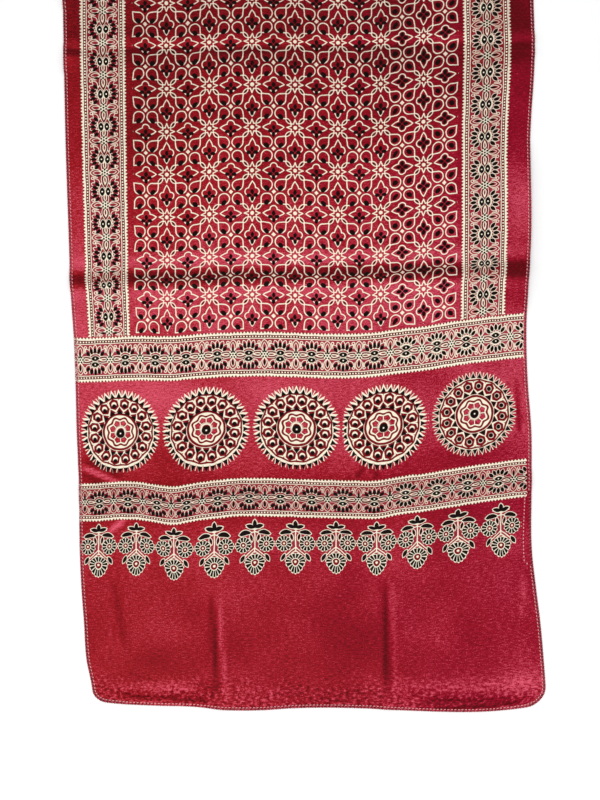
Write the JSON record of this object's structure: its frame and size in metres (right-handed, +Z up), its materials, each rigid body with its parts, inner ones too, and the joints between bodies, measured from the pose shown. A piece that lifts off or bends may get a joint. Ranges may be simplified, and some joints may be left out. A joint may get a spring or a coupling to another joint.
{
  "type": "mashru silk stole",
  "caption": "Long, narrow satin-faced stole laid out flat, with block-printed borders and medallions, a plain end and an overlocked edge.",
  "frame": {"origin": "under the middle of the stole's outline, on the surface it lies on", "axes": "+X across the stole to the right of the printed face, +Y lengthwise from the pictured end to the other end, +Z up out of the printed face"},
  "size_m": [0.5732, 2.1022, 0.0094],
  "materials": {
    "printed_mashru": "satin-faced silk on a cotton back, madder red, printed in cream, red and black; soft lustre, roughness about 0.45"
  },
  "bodies": {
    "root": {"stole_cloth": "printed_mashru"}
  },
  "joints": []
}
